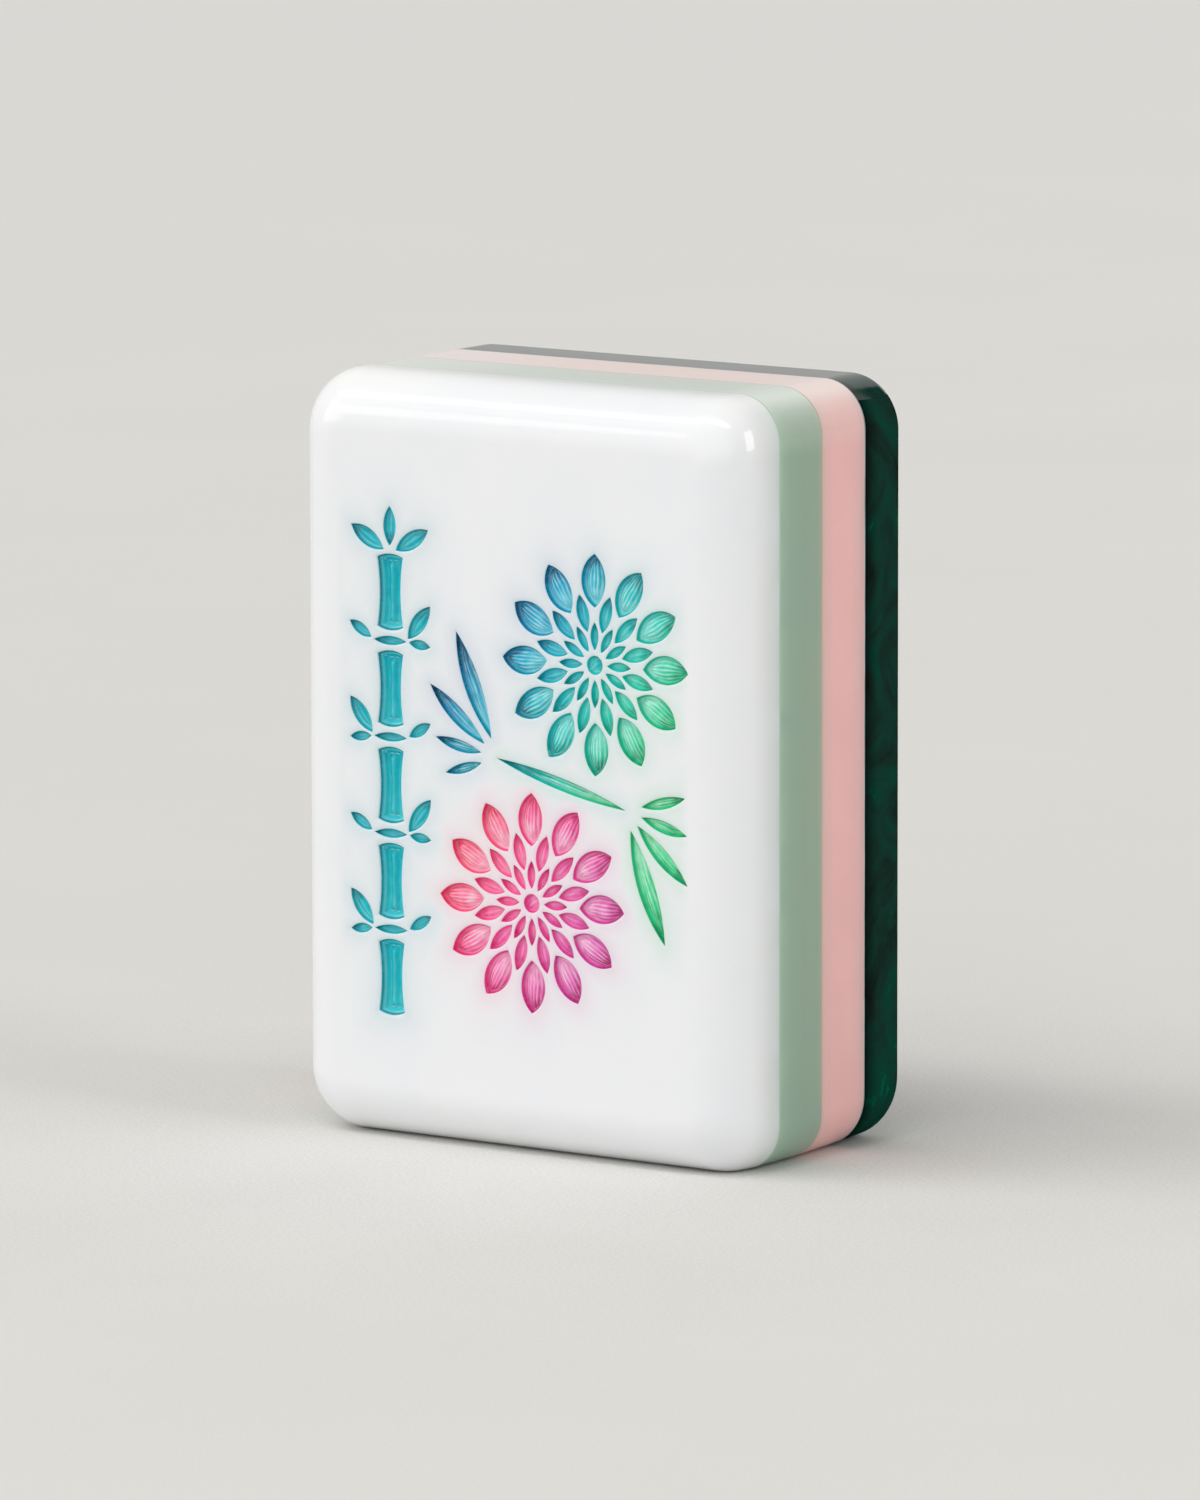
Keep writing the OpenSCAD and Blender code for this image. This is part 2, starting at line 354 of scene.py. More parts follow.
def reshape_corners(obj, at_y, radius, corners=ALL_CORNERS):
    """Gives corners another radius in the plane at_y. A corner is given by its signs of x and z."""
    low, high = Vector(obj.bound_box[0]), Vector(obj.bound_box[6])
    mesh = edit(obj, "VERT")
    for vertex in mesh.verts:
        x, y, z = vertex.co
        sign_x = 1 if x > 0 else -1
        sign_z = 1 if z > (low.z + high.z) / 2 else -1
        if abs(y - at_y) > HAIR or (sign_x, sign_z) not in corners:
            continue
        old = TIGHT_CORNER_RADIUS if x > 0 else CORNER_RADIUS
        edge_x = high.x if x > 0 else low.x
        edge_z = high.z if sign_z > 0 else low.z
        old_centre = Vector((edge_x - sign_x * old, y, edge_z - sign_z * old))
        new_centre = Vector((edge_x - sign_x * radius, y, edge_z - sign_z * radius))
        vertex.co = new_centre + (vertex.co - old_centre).normalized() * radius
    bmesh.update_edit_mesh(obj.data)
    leave_edit()


def polish(obj):
    """Smooth shading whose normals follow the wide faces."""
    select_only(obj)
    bpy.ops.object.shade_smooth_by_angle(angle=SMOOTH_ANGLE)
    bpy.ops.object.modifier_add(type="WEIGHTED_NORMAL")
    obj.modifiers[-1].keep_sharp = True
    bpy.ops.object.modifier_apply(modifier=obj.modifiers[-1].name)


# %% Sage, pink and emerald plates
LOW_CORNER_RADIUS = 2.15 * MM
LOW_BACK_RADIUS = 2.6 * MM
LOW_RIGHT = ((1, -1),)
BACK_ROLL = 0.9 * MM
BACK_SEGMENTS = 10

sage_plate = cube_for("sage_layer", "sage_plate")
pink_plate = cube_for("pink_layer", "pink_plate")
emerald_back = cube_for("back_layer", "emerald_back")
plates = (sage_plate, pink_plate, emerald_back)
for plate in plates:
    print(plate.name, "corners rounded:", round_corners(plate))

joint_y, back_y = (side.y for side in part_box("back_layer"))
reshape_corners(pink_plate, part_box("pink_layer")[1].y, LOW_CORNER_RADIUS, LOW_RIGHT)
reshape_corners(emerald_back, joint_y, LOW_CORNER_RADIUS, LOW_RIGHT)
reshape_corners(emerald_back, back_y, CORNER_RADIUS, ALL_CORNERS[:2] + ALL_CORNERS[3:])
reshape_corners(emerald_back, back_y, LOW_BACK_RADIUS, LOW_RIGHT)
edit(emerald_back)
rolled = pick(
    emerald_back, "edges",
    lambda e: all(abs(v.co.y - back_y) < HAIR for v in e.verts) and len(e.link_faces) == 2,
)
bpy.ops.mesh.bevel(offset=BACK_ROLL, segments=BACK_SEGMENTS, affect="EDGES")
leave_edit()
for plate in plates:
    polish(plate)
print("back edges rolled:", rolled, "faces:", len(emerald_back.data.polygons))

# %% [markdown]
# The cement between two plates is a film a few hundredths of a millimetre thick. It never shows as a
# piece, only as a line where two colours meet, so each film is a very thin plate with the same
# rounded corners.

# %% Films of cement
face_film = cube_for("face_bond", "face_film")
middle_film = cube_for("middle_bond", "middle_film")
back_film = cube_for("back_bond", "back_film")
for film in (face_film, middle_film, back_film):
    print(film.name, "corners rounded:", round_corners(film))
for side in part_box("back_bond"):
    reshape_corners(back_film, side.y, LOW_CORNER_RADIUS, LOW_RIGHT)
for film in (face_film, middle_film, back_film):
    polish(film)

# %% [markdown]
# ## The white block
# The body is made like the plates, then its front edge is rolled wide. Tumbling wears the front
# corners rounder than the rest, so their radius grows to 2.6 mm at the face before the edge is rolled.

# %% White body
FACE_ROLL = 2.2 * MM
FACE_SEGMENTS = 18
FRONT_CORNER = 2.6 * MM
FACE_MARGIN = 0.05 * MM

white_block = cube_for("face_block", "white_block")
round_corners(white_block)
block_low, block_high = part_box("face_block")
front_y = block_low.y


def on_front(item):
    """True for an edge or a face that lies in the plane of the tile's face."""
    return all(abs(v.co.y - front_y) < HAIR for v in item.verts)


reshape_corners(white_block, front_y, FRONT_CORNER)
edit(white_block)
rolled = pick(white_block, "edges", on_front)
bpy.ops.mesh.bevel(offset=FACE_ROLL, segments=FACE_SEGMENTS, affect="EDGES")
bpy.ops.mesh.select_mode(type="FACE")
bpy.ops.mesh.select_all(action="DESELECT")
pick(white_block, "faces", on_front)
bpy.ops.mesh.inset(thickness=FACE_MARGIN)
leave_edit()
print("front edges rolled:", rolled, "faces:", len(white_block.data.polygons))

# %% [markdown]
# ## The carved figures
# A cutter carves each figure as a shallow pocket with its own relief: a groove just inside the
# outline, and a fluted crown in the middle, like the veins of a petal. The CAD has every pocket as a
# flat-bottomed one, with a solid of paint in it. The outlines are read back from those paint solids,
# so a figure can't drift away from the CAD. A figure is a leaf between two arcs, or a stick of cane.

# %% Read the outlines from the CAD paint
PAINT_GAP = 0.02


def solids_of(node):
    """The front outline points of each solid of a CAD node, as x and z in millimetres."""
    mesh = bmesh.new()
    mesh.from_mesh(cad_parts[node].data)
    bmesh.ops.remove_doubles(mesh, verts=mesh.verts[:], dist=HAIR)
    mesh.verts.index_update()
    front = min(v.co.y for v in mesh.verts)
    seen = set()
    found = []
    for start in mesh.verts:
        if start.index in seen:
            continue
        seen.add(start.index)
        group = [start]
        for vertex in group:
            for edge in vertex.link_edges:
                other = edge.other_vert(vertex)
                if other.index not in seen:
                    seen.add(other.index)
                    group.append(other)
        found.append(np.array([(v.co.x / MM, v.co.z / MM) for v in group if v.co.y < front + HAIR]))
    mesh.free()
    return found


def ends_of(points):
    """The two ends of a long outline."""
    one = points[np.argmax(np.hypot(*(points - points[0]).T))]
    return one, points[np.argmax(np.hypot(*(points - one).T))]


def leaf_between_arcs(points, roots):
    """A leaf's base, direction, and the two arcs of its sides, grown by the gap to the pocket's wall."""
    one, two = ends_of(points)
    reach = [min(np.hypot(*(end - root)) for root in roots) for end in (one, two)]
    base, tip = (one, two) if reach[0] <= reach[1] else (two, one)
    length = np.hypot(*(tip - base))
    along = (tip - base) / length
    across = np.array((-along[1], along[0]))
    heights = (points - base) @ across
    arcs = []
    for side, sag in ((1, heights.max()), (-1, -heights.min())):
        radius = (length ** 2 / 4 + sag ** 2) / (2 * sag)
        arcs.append((side * (sag - radius), radius + PAINT_GAP))
    (left_centre, left_radius), (right_centre, right_radius) = arcs
    gap = right_centre - left_centre
    level = (left_radius ** 2 - right_radius ** 2 + right_centre ** 2 - left_centre ** 2) / (2 * gap)
    half_chord = math.sqrt(left_radius ** 2 - (level - left_centre) ** 2)
    return {
        "base": base, "along": along, "across": across, "middle": length / 2,
        "arcs": arcs, "half_chord": half_chord, "level": level,
    }


# %% [markdown]
# ### A leaf as a grid
# Each leaf is a grid of rows from its base to its tip. The rows crowd towards both ends and the
# columns towards both sides, where the relief is steepest.

# %% Leaf and stick grids
END_CROWDING = 0.4
LEAST_SLANT = 0.1
STICK_WAIST = 0.14
STICK_DOME = 0.14


def ease(x, low, high):
    """A smooth step from 0 at low to 1 at high."""
    t = np.clip((x - low) / (high - low), 0, 1)
    return t * t * (3 - 2 * t)


def crowded(cells):
    """Places from -1 to 1, with so many cells on each side of 0, that crowd towards both ends."""
    return np.sin(np.linspace(-1, 1, 2 * cells + 1) * math.pi / 2)


def leaf_grid(leaf, rows, columns):
    """Places of a leaf's grid points, with how far each is along, across and from the edge."""
    t = np.linspace(0, 1, rows + 1)
    t = (1 - END_CROWDING) * t + END_CROWDING * (0.5 - 0.5 * np.cos(math.pi * t))
    x = (2 * t - 1) * leaf["half_chord"]
    (left_centre, left_radius), (right_centre, right_radius) = leaf["arcs"]
    top = left_centre + np.sqrt(np.maximum(left_radius ** 2 - x ** 2, 0))
    low = right_centre - np.sqrt(np.maximum(right_radius ** 2 - x ** 2, 0))
    top[0] = top[-1] = low[0] = low[-1] = leaf["level"]
    half = (top - low) / 2
    v = crowded(columns)
    height = ((top + low) / 2)[:, None] + half[:, None] * v[None, :]
    flat = (leaf["base"] + (x[:, None, None] + leaf["middle"]) * leaf["along"]
            + height[:, :, None] * leaf["across"])
    u = np.repeat(t[:, None], len(v), 1)
    v = np.repeat(v[None, :], len(t), 0)
    half = np.repeat(half[:, None], v.shape[1], 1)
    slope = np.abs(x / left_radius)[:, None]
    edge = (1 - np.abs(v)) * half * np.sqrt(np.maximum(1 - slope ** 2, LEAST_SLANT))
    return {"flat": flat, "u": u, "v": v, "half": half, "edge": edge, "widest": half.max()}


def stick_grid(points, rows, columns):
    """A stick of cane: sides that draw in to a waist and slightly domed ends."""
    low = points.min(0) - PAINT_GAP
    high = points.max(0) + PAINT_GAP
    centre = (low + high) / 2
    half_w, half_h = (high - low) / 2
    v = crowded(columns)[None, :]
    w = crowded(rows)[:, None]
    z = w * (half_h - STICK_DOME * v ** 2)
    wide = half_w - STICK_WAIST * (1 - (z / half_h) ** 2)
    side_gap = (1 - np.abs(v)) * wide
    end_gap = (1 - np.abs(w)) * half_h + 0 * v
    return {
        "flat": np.stack((centre[0] + v * wide, centre[1] + z), 2), "u": (w + 1) / 2 + 0 * v,
        "v": v + 0 * w, "half": wide + 0 * w, "edge": np.minimum(side_gap, end_gap), "widest": half_w,
    }


# %% [markdown]
# ### The relief
# A rounded rim leads into a sloping wall, which ends in a groove, and the crown rises again inside it.
# The wall that faces up mirrors the soft box, which gives each figure a bright line at its lower edge.

# %% Relief of the carved floor
WALL_CURVE = 1.3
CREST_RUN = 0.25
DRIFT_SIZE = 0.7
DRIFT_TURN = 1.1
FADE_SIZE = 0.35
RAY_SHARPNESS = 2.5


def floor_depth(grid, look):
    """Depth of the carved floor below the face, in millimetres."""
    rim, wall, groove, crown = look["rim"], look["wall"], look["groove"], look["crown"]
    slope = 1 - (1 - np.clip(grid["edge"] / wall, 0, 1)) ** WALL_CURVE
    rise = min(wall + CREST_RUN, 0.9 * grid["widest"])
    crest = ease(grid["edge"], 0.7 * wall, max(rise, 0.8 * wall))
    return rim + (groove - rim) * slope - (groove - crown) * crest


def waver(flat, size, seed):
    """Smooth noise between about -1 and 1 at places in millimetres, with features of a given size."""
    shape = flat.shape[:-1]
    places = flat.reshape(-1, 2) / size
    return np.array([noise.noise(Vector((x, z, seed))) for x, z in places]).reshape(shape) * 2


def rays_on(grid, look):
    """How much each point lies on a fine ray, from 0 to 1. Rays waver a little and fade at both ends."""
    count = max(2, round(2 * grid["widest"] / look["pitch"]))
    drift = DRIFT_TURN * waver(grid["flat"], DRIFT_SIZE, 3.1)
    ray = (0.5 + 0.5 * np.cos(math.pi * count * grid["v"] + drift)) ** RAY_SHARPNESS
    ray *= 0.55 + 0.45 * np.clip(waver(grid["flat"], FADE_SIZE, 7.7) + 0.5, 0, 1)
    ray *= ease(grid["half"], 0.25 * grid["widest"], 0.75 * grid["widest"])
    return ray * ease(grid["edge"], 0.5 * look["wall"], 1.3 * look["wall"])


# %% [markdown]
# ### Colours of the paint
# The colours blend from figure to figure, like inks wiped into the carving: deep blue through teal to
# green in the upper blossom and its branch, coral through pink to magenta in the lower blossom. The ink
# is thin and pale near the base and on the rays, and pools dark in the groove and towards the tips,
# with a ragged edge. A pale line just inside the outline, stronger on one side, is a painted glint, for
# the light that the rim of each pocket catches.

# %% Paint colours
# A run turns a place on the face into a place along the inks: shares of x and z, a start and a
# length in millimetres. Each ink has its place, then its body, pooled and wiped colours.
BLUE_INKS = {"run": (0.8, -0.6, 13.8, 12.0), "colours": (
    (0.0, "#0476bc", "#023c70", "#60bce4"),
    (0.2, "#02a8cc", "#026c94", "#7cdcf0"),
    (0.45, "#04ccc8", "#029c9c", "#98f0ec"),
    (0.75, "#3cdc98", "#049c60", "#b8f6d4"),
)}
PINK_INKS = {"run": (0.85, -0.5, 7.6, 6.6), "colours": (
    (0.0, "#fd7898", "#ea3468", "#fdccd4"),
    (0.4, "#fd64ae", "#e42284", "#fdc4e0"),
    (1.0, "#e056b6", "#b82080", "#f4bce4"),
)}
TEAL_INKS = {"run": (0, 1, 0, 25), "colours": (
    (0.0, "#04c0cc", "#027c8e", "#58d8dc"),
    (1.0, "#02b6c6", "#026c80", "#50d0d8"),
)}
RAY_COLOUR = "#f4fafa"
RAY_WIPED = 0.5
RAGGED_SIZE = 0.3
POOLED_EDGE = (0.03, 0.11)
PALE_RUN = (0.0, 0.65)
DARK_RUN = (0.5, 0.95)
# Place and width of the painted glint inside the outline, in millimetres.
PAINTED_GLINT_PLACE = 0.1
PAINTED_GLINT_WIDTH = 0.035


def ink_at(inks, flat):
    """Body, pooled and wiped colour of a row of inks at places on the face."""
    share_x, share_z, start, length = inks["run"]
    place = np.clip((share_x * flat[..., 0] + share_z * flat[..., 1] + start) / length, 0, 1)
    stops = [ink[0] for ink in inks["colours"]]
    colours = []
    for part in (1, 2, 3):
        values = np.array([linear(ink[part])[:3] for ink in inks["colours"]])
        colours.append(np.stack([np.interp(place, stops, values[:, c]) for c in range(3)], -1))
    return colours


def blend(one, two, share):
    """One colour mixed towards another, point by point."""
    return one + (two - one) * np.clip(share, 0, 1)[..., None]


def ink_colour(grid, inks, ray, look):
    """The paint's colour at each grid point."""
    body, pooled, wiped = ink_at(inks, grid["flat"])
    ragged = waver(grid["flat"], RAGGED_SIZE, 1.3)
    u = grid["u"] + 0.1 * ragged
    edge_pool = 1 - ease(grid["edge"], *POOLED_EDGE)
    pale = look["pale"] * (1 - ease(u, *PALE_RUN)) * (1 - edge_pool)
    dark = look["dark"] * ease(u, *DARK_RUN) + 0.12 * ragged
    colour = blend(blend(body, wiped, pale), pooled, dark)
    colour = blend(colour, pooled, look["outline"] * edge_pool)
    bright = RAY_WIPED * wiped + (1 - RAY_WIPED) * np.array(linear(RAY_COLOUR)[:3])
    colour = blend(colour, bright, look["bright"] * ray * (1 - 0.5 * ease(grid["u"], 0.5, 1)))
    # Painted glint: a pale line just inside the outline, stronger towards one side.
    painted_glint = np.exp(-(((grid["edge"] - PAINTED_GLINT_PLACE) / PAINTED_GLINT_WIDTH) ** 2))
    return blend(colour, bright, look["painted_glint"] * painted_glint * (0.45 + 0.55 * ease(grid["v"], -0.4, 0.6)))


# %% Looks of the figures
# Lengths are millimetres, and the shares of pale, dark and bright ink run from 0 to 1.
# painted_glint is the share of the painted highlight line inside each outline.
BIG_LOOK = {
    "fine": 2, "wall": 0.13, "groove": 0.25, "pitch": 0.17, "ray": 0.03, "pale": 0.9, "bright": 0.9,
}
PETAL_LOOK = {
    **BIG_LOOK, "step": 0.085, "rim": 0.045, "crown": 0.1, "dark": 0.95, "outline": 0.6, "painted_glint": 0.25,
}
LEAF_LOOK = {
    **BIG_LOOK, "step": 0.1, "rim": 0.05, "crown": 0.12, "dark": 0.8, "outline": 0.5, "painted_glint": 0.2,
}
SMALL_LOOK = {"step": 0.08, "fine": 1, "groove": 0.22, "ray": 0.015, "pale": 0.5, "bright": 0.35}
HEART_LOOK = {
    **SMALL_LOOK, "rim": 0.04, "wall": 0.11, "crown": 0.12, "pitch": 0.2, "dark": 0.7, "outline": 0.3,
    "painted_glint": 0.2,
}
CANE_LEAF_LOOK = {
    **SMALL_LOOK, "rim": 0.045, "wall": 0.12, "crown": 0.14, "pitch": 0.22, "dark": 0.6,
    "outline": 0.35, "painted_glint": 0.35,
}
STICK_LOOK = {
    "rows": 14, "columns": 12, "rim": 0.08, "wall": 0.3, "groove": 0.38, "crown": 0.2,
    "pitch": 0.3, "ray": 0.02, "pale": 0.3, "dark": 0, "outline": 0.75, "bright": 0.3, "painted_glint": 0.6,
}
LEAST_ROWS = 10
LEAST_COLUMNS = 5
COLUMN_SHARE = 0.6


def figure_from(grids, inks, look, tips):
    """A figure: its carved floor on a coarse grid and its paint on a fine one."""
    floor_grid, film_grid = grids
    ray = rays_on(film_grid, look)
    return {
        "tips": tips,
        "rim": look["rim"],
        "floor": (floor_grid["flat"], floor_depth(floor_grid, look)),
        "film": (film_grid["flat"], floor_depth(film_grid, look)),
        "raised": look["ray"] * ray,
        "colour": ink_colour(film_grid, inks, ray, look),
        "stain": ink_at(inks, film_grid["flat"])[0].reshape(-1, 3).mean(0),
    }


def leaf_figure(points, roots, inks, look):
    """A leaf or petal that grows from the nearest of its roots."""
    leaf = leaf_between_arcs(points, roots)
    step, fine = look["step"], look["fine"]
    rows = max(LEAST_ROWS, round(2 * leaf["half_chord"] / step))
    columns = max(LEAST_COLUMNS, round(leaf_grid(leaf, 8, 1)["widest"] / (step * COLUMN_SHARE)))
    grids = (leaf_grid(leaf, rows, columns), leaf_grid(leaf, rows * fine, columns * fine))
    return figure_from(grids, inks, look, True)


def stick_figure(points, inks, look):
    """A stick of cane."""
    rows, columns = look["rows"], look["columns"]
    grids = (stick_grid(points, rows, columns), stick_grid(points, rows * 2, columns * 2))
    return figure_from(grids, inks, look, False)


# %% Every figure, from its CAD node
def middle_of(node):
    """The middle of a CAD node, as x and z in millimetres."""
    low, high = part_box(node)
    return np.array(((low.x + high.x) / 2, (low.z + high.z) / 2)) / MM


figures = {}
for node, inks, look in (
    ("upper_petal_paint", BLUE_INKS, PETAL_LOOK),
    ("upper_heart_paint", BLUE_INKS, HEART_LOOK),
    ("lower_petal_paint", PINK_INKS, PETAL_LOOK),
    ("lower_heart_paint", PINK_INKS, HEART_LOOK),
):
    figures[node] = [leaf_figure(s, [middle_of(node)], inks, look) for s in solids_of(node)]

sticks = solids_of("cane_stick_paint")
figures["cane_stick_paint"] = [stick_figure(s, TEAL_INKS, STICK_LOOK) for s in sticks]
cane_x = middle_of("cane_stick_paint")[0]
figures["cane_leaf_paint"] = [
    leaf_figure(s, [np.array((cane_x, s[:, 1].mean()))], TEAL_INKS, CANE_LEAF_LOOK)
    for s in solids_of("cane_leaf_paint")
]
sprays = solids_of("branch_paint")
bough_ends = max((ends_of(s) for s in sprays), key=lambda ends: np.hypot(*(ends[1] - ends[0])))
figures["branch_paint"] = [leaf_figure(s, bough_ends, BLUE_INKS, LEAF_LOOK) for s in sprays]
print("figures:", {node: len(found) for node, found in figures.items()})

# %% [markdown]
# ### The carved face
# The front of the white body is one flat polygon. It is taken out, and a sheet of small triangles with
# a hole for each figure is laid in its place. Cutting a hundred figures out with booleans would leave
# slivers on a face that has to mirror the light cleanly, and one big polygon couldn't hold the faint
# stain that the paint leaves in the milky acrylic round each figure. So the sheet is triangulated
# between the outlines instead, with small triangles near the figures and large ones far from them.

# %% Rim of a pocket
RIM_STEPS = 2
FAN_ANGLE = math.radians(22)


def rim_loop(figure, part):
    """The grid points round a figure's edge in order, each with the way out of the figure."""
    flat = figure[part][0]
    rows, columns = flat.shape[:2]
    last_row, last_column = rows - 1, columns - 1
    if figure["tips"]:
        loop = [(i, 0) for i in range(rows)]
        loop += [(i, last_column) for i in range(last_row - 1, 0, -1)]
    else:
        loop = [(0, j) for j in range(columns)] + [(i, last_column) for i in range(1, rows)]
        loop += [(last_row, j) for j in range(last_column - 1, -1, -1)]
        loop += [(i, 0) for i in range(last_row - 1, 0, -1)]
    points = np.array([flat[cell] for cell in loop])
    area = np.sum(points[:, 0] * np.roll(points[:, 1], -1) - np.roll(points[:, 0], -1) * points[:, 1])
    if area < 0:
        loop.reverse()
        points = points[::-1]
    runs = np.roll(points, -1, 0) - points
    angles = np.arctan2(-runs[:, 0], runs[:, 1])
    entries = []
    for k, cell in enumerate(loop):
        before, after = angles[k - 1], angles[k]
        bend = (after - before + math.pi) % (2 * math.pi) - math.pi
        fans = max(1, int(bend / FAN_ANGLE) + 1) if bend > FAN_ANGLE else 0
        turns = [before + bend * f / fans for f in range(fans + 1)] if fans else [before + bend / 2]
        entries += [(cell, points[k], np.array((math.cos(a), math.sin(a)))) for a in turns]
    return entries


def rim_rings(entries, rim):
    """Rings of flat places and depths from the pocket's wall out to the face."""
    rings = []
    for k in range(1, RIM_STEPS + 1):
        angle = math.radians(90) * k / RIM_STEPS
        out = rim * (1 - math.cos(angle))
        rings.append(([point + way * out for cell, point, way in entries], rim * (1 - math.sin(angle))))
    return rings


# %% [markdown]
# The sheet's points are the rims, the edge of the flat, and two lattices: a fine one close to the
# figures and a coarse one elsewhere.

# %% Points of the sheet
NEAR_STEP = 0.15
NEAR_REACH = 0.75
FAR_STEP = 0.6
CLEAR = 0.07

every_figure = [figure for node in sorted(figures) for figure in figures[node]]
rims = [rim_loop(figure, "floor") for figure in every_figure]
rings = [rim_rings(entries, figure["rim"]) for entries, figure in zip(rims, every_figure)]
outlines = [np.array(ring[-1][0]) for ring in rings]

body = bmesh.new()
body.from_mesh(white_block.data)
front_face = max(filter(on_front, body.faces), key=lambda f: len(f.verts))
edge_loop = [(v.co.x / MM, v.co.z / MM) for v in front_face.verts]
bmesh.ops.delete(body, geom=[front_face], context="FACES_ONLY")
print("flat face corners:", len(edge_loop))

sheet_points = list(edge_loop)
sheet_faces = [list(range(len(edge_loop)))]
rim_tree = kdtree.KDTree(sum(len(outline) for outline in outlines))
rim_colours = []
for figure, outline in zip(every_figure, outlines):
    sheet_faces.append([len(sheet_points) + i for i in range(len(outline))])
    for x, z in outline:
        rim_tree.insert((x, z, 0), len(rim_colours))
        rim_colours.append(figure["stain"])
        sheet_points.append((x, z))
rim_tree.balance()


# %% Points between the figures
def inside(polygon, x, z):
    """True if a point lies in a polygon."""
    x0, z0 = polygon[:, 0], polygon[:, 1]
    x1, z1 = np.roll(x0, -1), np.roll(z0, -1)
    crosses = (z0 > z) != (z1 > z)
    if not crosses.any():
        return False
    at = x0[crosses] + (z - z0[crosses]) / (z1[crosses] - z0[crosses]) * (x1[crosses] - x0[crosses])
    return bool(np.sum(at > x) % 2)


boxes = [(outline.min(0), outline.max(0)) for outline in outlines]


def in_a_figure(x, z):
    """True if a point of the face lies in a figure."""
    return any(
        low[0] <= x <= high[0] and low[1] <= z <= high[1] and inside(outline, x, z)
        for (low, high), outline in zip(boxes, outlines)
    )


border = np.array(edge_loop)
low_x, low_z = border.min(0)
high_x, high_z = border.max(0)
for step, near in ((NEAR_STEP, True), (FAR_STEP, False)):
    count_x = int((high_x - low_x) / step)
    count_z = int((high_z - low_z) / step)
    for i in range(1, count_x):
        for j in range(1, count_z):
            x = low_x + (high_x - low_x) * (i + 0.5 * (j % 2)) / count_x
            z = low_z + (high_z - low_z) * j / count_z
            gap = rim_tree.find((x, z, 0))[2]
            wanted = CLEAR < gap < NEAR_REACH if near else gap >= NEAR_REACH
            if wanted and x < high_x - CLEAR and not in_a_figure(x, z):
                sheet_points.append((x, z))
print("points of the sheet:", len(sheet_points))

# %% [markdown]
# The triangulation also says which triangles lie in which outline, so the ones inside a figure are left
# out. Then the rims and the carved floors of the pockets are stitched to the sheet.

# %% Grids as faces
def grid_numbers(shape, tips):
    """Numbers of a grid's vertices, and which are used. With tips, each end row is one point."""
    rows, columns = shape
    numbers = np.arange(rows * columns).reshape(rows, columns)
    if tips:
        numbers[0, :] = numbers[0, 0]
        numbers[-1, :] = numbers[-1, 0]
    used, compact = np.unique(numbers, return_inverse=True)
    return compact.reshape(rows, columns), used


def grid_polygons(numbers):
    """The faces of a numbered grid, as tuples of three or four vertex numbers."""
    corners = (numbers[:-1, :-1], numbers[:-1, 1:], numbers[1:, 1:], numbers[1:, :-1])
    quads = np.stack(corners, -1).reshape(-1, 4).tolist()
    return [tuple(dict.fromkeys(quad)) for quad in quads]


def grid_places(flat, depth, used):
    """Places in metres of a grid's vertices, from flat places and depths in millimetres."""
    places = np.stack((flat[..., 0] * MM, front_y + depth * MM, flat[..., 1] * MM), -1)
    return places.reshape(-1, 3)[used]


def triangles_of(data):
    """How many triangles a mesh comes to."""
    return sum(len(f.vertices) - 2 for f in data.polygons)


# %% Triangulate the sheet and stitch in the pockets
SAME_POINT = 1e-6
WELD = 0.0004 * MM

cut = geometry.delaunay_2d_cdt([Vector(p) for p in sheet_points], [], sheet_faces, 0, SAME_POINT, True)
places, faces, face_of = cut[0], cut[2], cut[5]
corners = [body.verts.new((p.x * MM, front_y, p.y * MM)) for p in places]
kept = 0
for face, owners in zip(faces, face_of):
    if list(owners) == [0]:
        body.faces.new([corners[i] for i in face])
        kept += 1
print("triangles of the sheet:", kept)

for figure, entries, ring in zip(every_figure, rims, rings):
    flat, depth = figure["floor"]
    numbers, used = grid_numbers(depth.shape, figure["tips"])
    corners = [body.verts.new(place) for place in grid_places(flat, depth, used)]
    for polygon in grid_polygons(numbers):
        body.faces.new([corners[n] for n in polygon])
    inner = [corners[numbers[cell]] for cell, point, way in entries]
    for places, depth in ring:
        outer = [body.verts.new((p[0] * MM, front_y + depth * MM, p[1] * MM)) for p in places]
        for k in range(len(outer)):
            around = list(dict.fromkeys((inner[k - 1], inner[k], outer[k], outer[k - 1])))
            if len(around) > 2:
                body.faces.new(around)
        inner = outer
bmesh.ops.remove_doubles(body, verts=body.verts[:], dist=WELD)
bmesh.ops.recalc_face_normals(body, faces=body.faces[:])
print("open or shared edges:", sum(1 for e in body.edges if len(e.link_faces) != 2))
body.to_mesh(white_block.data)
body.free()
print("triangles of the white block:", triangles_of(white_block.data))

# %% Stain of the paint in the acrylic
STAIN_REACH = 0.5
STAIN_STRENGTH = 0.2
STAIN_FADE = 0.4
STAIN_DEPTH = 0.6
FLAT_EDGE = (block_high.x - FACE_ROLL - FACE_MARGIN) / MM


def stain_at(place):
    """White, tinted towards the nearest paint close to a figure, and fading out before the roll."""
    if (place.y - front_y) / MM > STAIN_DEPTH:
        return (1, 1, 1, 1)
    near, number, gap = rim_tree.find((place.x / MM, place.z / MM, 0))
    fade = (FLAT_EDGE - abs(place.x) / MM) / STAIN_FADE
    share = STAIN_STRENGTH * math.exp(-gap / STAIN_REACH) * min(1, max(0, fade))
    return tuple(1 - share * (1 - c) for c in rim_colours[number]) + (1,)


stain = white_block.data.color_attributes.new("stain", "FLOAT_COLOR", "POINT")
values = [channel for v in white_block.data.vertices for channel in stain_at(v.co)]
stain.data.foreach_set("color", values)
polish(white_block)
print("points with the stain's colour:", len(stain.data))

